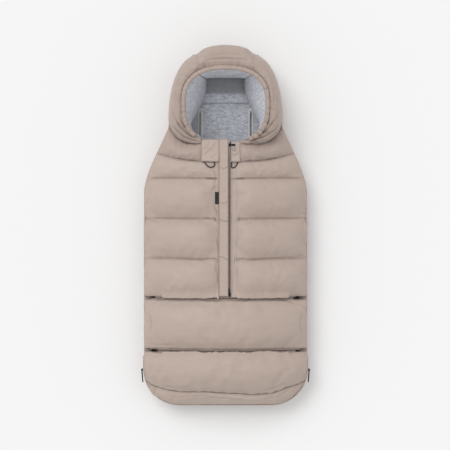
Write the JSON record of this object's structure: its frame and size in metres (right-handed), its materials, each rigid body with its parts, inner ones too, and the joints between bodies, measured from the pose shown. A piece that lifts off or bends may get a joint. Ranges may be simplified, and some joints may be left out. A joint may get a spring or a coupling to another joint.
{
  "type": "stroller footmuff",
  "caption": "Padded hooded footmuff for a pushchair: quilted front flaps, zips across waist, shin and foot, a gathered hood rim and harness slots in the back.",
  "frame": {"origin": "on the resting surface, under the middle of the bounding box", "axes": "+Y towards the hood, +Z out of the front of the footmuff as it lies on its back, +X to the right seen from above with the hood at the top"},
  "size_m": [0.489, 1.0424, 0.1751],
  "materials": {
    "taupe_shell": "matte woven nylon over padding",
    "taupe_trim": "matte woven nylon",
    "grey_lining": "brushed heather jersey",
    "wadding": "lofted polyester",
    "white_binding": "woven tape",
    "zip_tape": "woven tape with nylon coil",
    "black_tag": "woven satin",
    "black_cord": "braided round cord",
    "black_metal": "satin black"
  },
  "bodies": {
    "footmuff_back": {"back_shell": "taupe_shell", "back_wadding": "wadding", "back_lining": "grey_lining", "shoulder_slot_binding_left": "white_binding", "shoulder_slot_binding_right": "white_binding", "waist_slot_binding_left": "white_binding", "waist_slot_binding_right": "white_binding", "crotch_slot_binding": "white_binding", "thigh_panel": "taupe_shell", "thigh_lining": "grey_lining", "waist_zip_lower": "zip_tape", "shin_zip_upper": "zip_tape", "foot_zip_lower": "zip_tape", "hood_left": "taupe_shell", "hood_centre": "taupe_shell", "hood_right": "taupe_shell", "hood_lining_left": "grey_lining", "hood_lining_centre": "grey_lining", "hood_lining_right": "grey_lining", "hood_rim_tunnel": "taupe_shell", "hood_drawcord": "black_cord"},
    "left_flap": {"front_left": "taupe_shell", "front_left_lining": "grey_lining", "yoke_left": "taupe_shell", "throat_tab_left": "taupe_trim", "placket": "taupe_trim", "placket_tag": "black_tag", "drawcord_loop_left": "black_cord", "main_zip_left": "zip_tape", "main_zip_insertion_pin": "black_metal", "waist_zip_upper_left": "zip_tape"},
    "right_flap": {"front_right": "taupe_shell", "front_right_lining": "grey_lining", "yoke_right": "taupe_shell", "throat_tab_right": "taupe_trim", "throat_snap": "taupe_trim", "drawcord_loop_right": "black_cord", "main_zip_right": "zip_tape", "main_zip_top_stop": "black_metal", "main_zip_retainer_box": "black_metal", "waist_zip_upper_right": "zip_tape"},
    "foot_flap": {"foot_panel": "taupe_shell", "foot_lining": "grey_lining", "foot_band": "taupe_shell", "foot_zip_upper": "zip_tape", "shin_zip_lower": "zip_tape"},
    "main_slider": {"main_zip_slider": "black_metal"},
    "main_pull": {"main_zip_pull": "black_metal"},
    "waist_slider": {"waist_zip_slider": "black_metal"},
    "waist_pull": {"waist_zip_pull": "black_metal"},
    "shin_slider": {"shin_zip_slider": "black_metal"},
    "shin_pull": {"shin_zip_pull": "black_metal"},
    "foot_right_slider": {"foot_right_zip_slider": "black_metal"},
    "foot_right_pull": {"foot_right_zip_pull": "black_metal"},
    "foot_left_slider": {"foot_left_zip_slider": "black_metal"},
    "foot_left_pull": {"foot_left_zip_pull": "black_metal"}
  },
  "joints": [
    {"name": "left_flap_open", "type": "hinge", "parent": "footmuff_back", "child": "left_flap", "pos_m": [-0.236, 0, 0.0603], "axis": [0, -1, 0], "range_deg": [0, 150]},
    {"name": "right_flap_open", "type": "hinge", "parent": "footmuff_back", "child": "right_flap", "pos_m": [0.236, 0, 0.0603], "axis": [0, 1, 0], "range_deg": [0, 150]},
    {"name": "foot_flap_open", "type": "hinge", "parent": "footmuff_back", "child": "foot_flap", "pos_m": [0, -0.3604, 0.1347], "axis": [-1, 0, 0], "range_deg": [0, 75]},
    {"name": "main_slider_run", "type": "slide", "parent": "right_flap", "child": "main_slider", "axis": [0, -1, 0], "range_m": [0, 0.4158]},
    {"name": "main_pull_swing", "type": "hinge", "parent": "main_slider", "child": "main_pull", "pos_m": [0.0118, 0.2303, 0.13834], "axis": [0, -1, 0], "range_deg": [0, 150]},
    {"name": "waist_slider_run", "type": "hinge", "parent": "footmuff_back", "child": "waist_slider", "pos_m": [0, -0.2088, -0.29048], "axis": [0, -1, 0], "range_deg": [0, 58.73]},
    {"name": "waist_pull_swing", "type": "hinge", "parent": "waist_slider", "child": "waist_pull", "pos_m": [0.21036, -0.2088, 0.08338], "axis": [0, 1, 0], "range_deg": [0, 120]},
    {"name": "shin_slider_run", "type": "hinge", "parent": "footmuff_back", "child": "shin_slider", "pos_m": [0, -0.3596, -0.29048], "axis": [0, 1, 0], "range_deg": [0, 58.73]},
    {"name": "shin_pull_swing", "type": "hinge", "parent": "shin_slider", "child": "shin_pull", "pos_m": [-0.21036, -0.3596, 0.08338], "axis": [0, -1, 0], "range_deg": [0, 120]},
    {"name": "foot_right_slider_run", "type": "hinge", "parent": "footmuff_back", "child": "foot_right_slider", "pos_m": [0.134, -0.416, 0.06], "axis": [0, 0, -1], "range_deg": [0, 85]},
    {"name": "foot_right_pull_swing", "type": "hinge", "parent": "foot_right_slider", "child": "foot_right_pull", "pos_m": [0.24278, -0.4179, 0.06], "axis": [0, 0, 1], "range_deg": [0, 140]},
    {"name": "foot_left_slider_run", "type": "hinge", "parent": "footmuff_back", "child": "foot_left_slider", "pos_m": [-0.134, -0.416, 0.06], "axis": [0, 0, 1], "range_deg": [0, 85]},
    {"name": "foot_left_pull_swing", "type": "hinge", "parent": "foot_left_slider", "child": "foot_left_pull", "pos_m": [-0.24278, -0.4179, 0.06], "axis": [0, 0, -1], "range_deg": [0, 140]}
  ]
}
